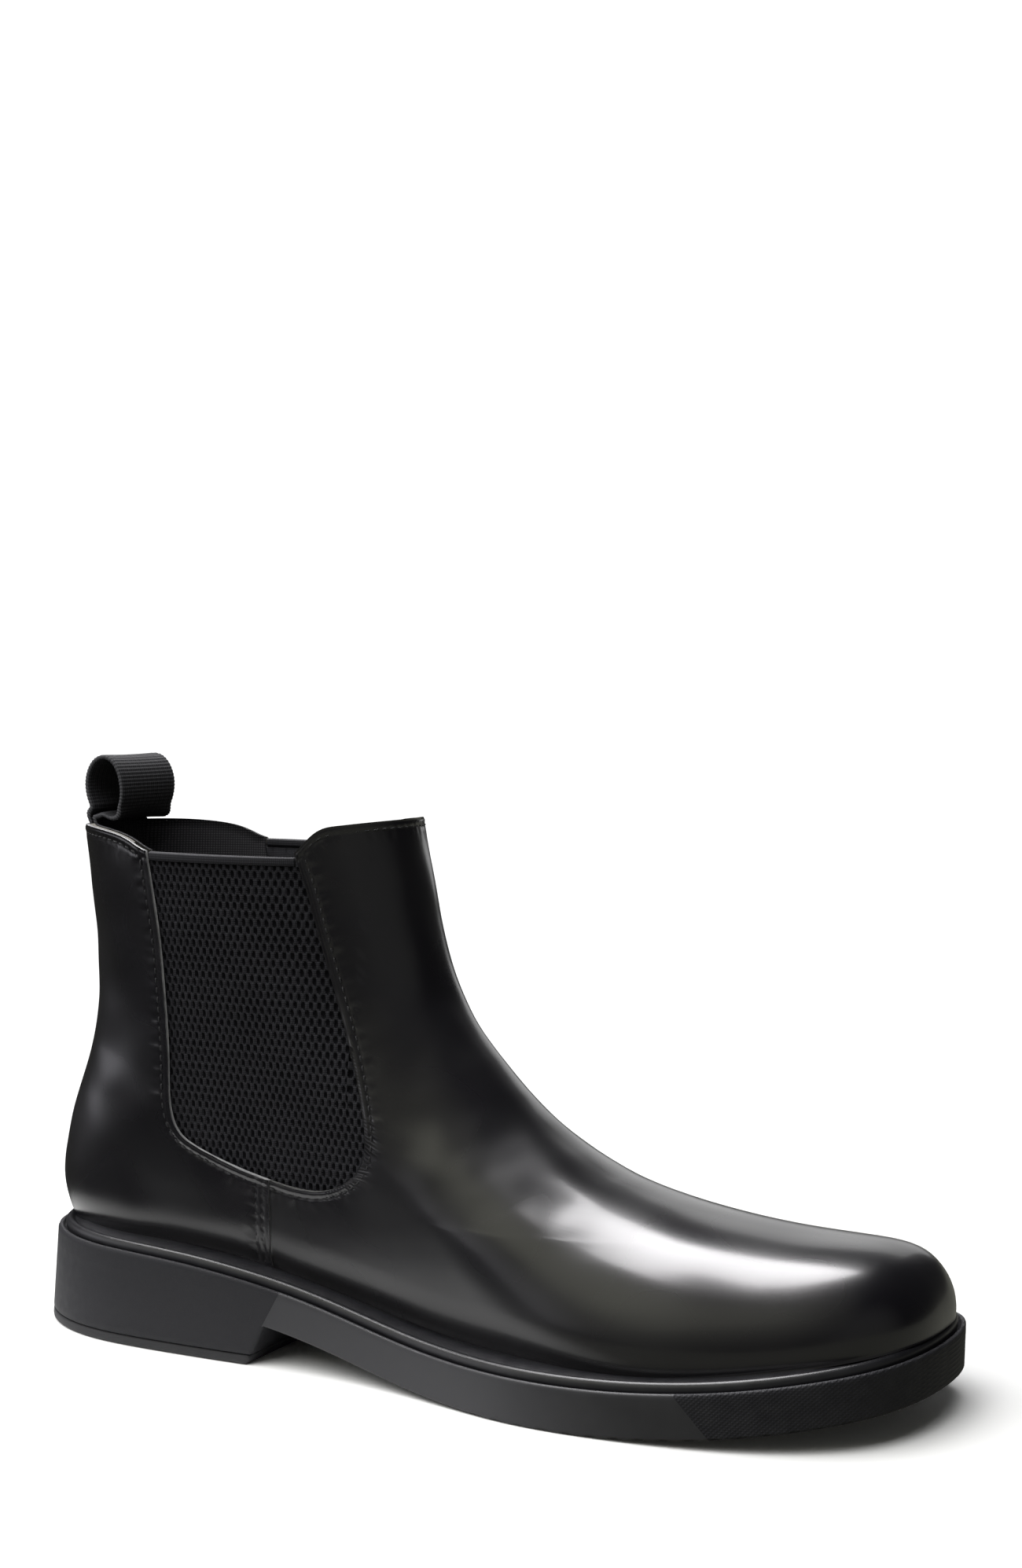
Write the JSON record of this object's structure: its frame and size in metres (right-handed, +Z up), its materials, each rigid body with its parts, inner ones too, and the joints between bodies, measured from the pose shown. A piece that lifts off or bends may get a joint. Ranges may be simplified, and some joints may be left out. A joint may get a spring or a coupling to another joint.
{
  "type": "chelsea boot",
  "caption": "Right-foot chelsea boot: smooth leather upper, elastic side gores, webbing pull tab, rolled welt, flat rubber sole with a stacked heel.",
  "frame": {"origin": "on the ground under the middle of the boot's bounding box", "axes": "+X towards the toe, +Y towards the inner (medial) side of a right foot, +Z up"},
  "size_m": [0.3082, 0.1101, 0.1866],
  "materials": {
    "leather": "semi-gloss smooth",
    "elastic": "matte knitted",
    "tape": "matte woven",
    "webbing": "grosgrain",
    "lining": "matte",
    "backing": "matte",
    "stiffener": "matte",
    "board": "matte",
    "foam": "matte",
    "sock": "matte",
    "cork": "granular",
    "steel": "brushed",
    "welt_rubber": "satin",
    "sole_rubber": "matte",
    "lift_rubber": "matte"
  },
  "bodies": {
    "root": {"front_panel_lower": "leather", "back_panel": "leather", "gore_lateral": "elastic", "gore_medial": "elastic", "gore_tape_lateral": "tape", "gore_tape_medial": "tape", "toe_puff": "stiffener", "heel_counter": "stiffener", "vamp_backing": "backing", "shaft_back_backing": "backing", "vamp_lining": "lining", "back_lining": "lining", "pull_tab_tails": "webbing", "insole_board": "board", "footbed_foam": "foam", "sock_liner": "sock", "shank": "steel", "bottom_filler": "cork", "heel_nails": "steel", "welt": "welt_rubber", "outsole": "sole_rubber", "heel_block": "sole_rubber", "heel_top_lift": "lift_rubber"},
    "shaft_front": {"front_panel_shaft": "leather", "shaft_front_backing": "backing", "shaft_front_lining": "lining"},
    "pull_tab": {"pull_tab": "webbing"}
  },
  "joints": [
    {"name": "shaft_lean", "type": "hinge", "parent": "root", "child": "shaft_front", "pos_m": [0.00324, 0, 0.1], "axis": [0, 1, 0], "range_deg": [0, 11], "stiffness_Nm_per_rad": 0.8, "deforming": ["gore_lateral", "gore_medial", "gore_tape_lateral", "gore_tape_medial"]},
    {"name": "pull_tab_swing", "type": "hinge", "parent": "root", "child": "pull_tab", "pos_m": [-0.1364, 0, 0.1665], "axis": [0, 1, 0], "range_deg": [-70, 20], "stiffness_Nm_per_rad": 0.01}
  ]
}
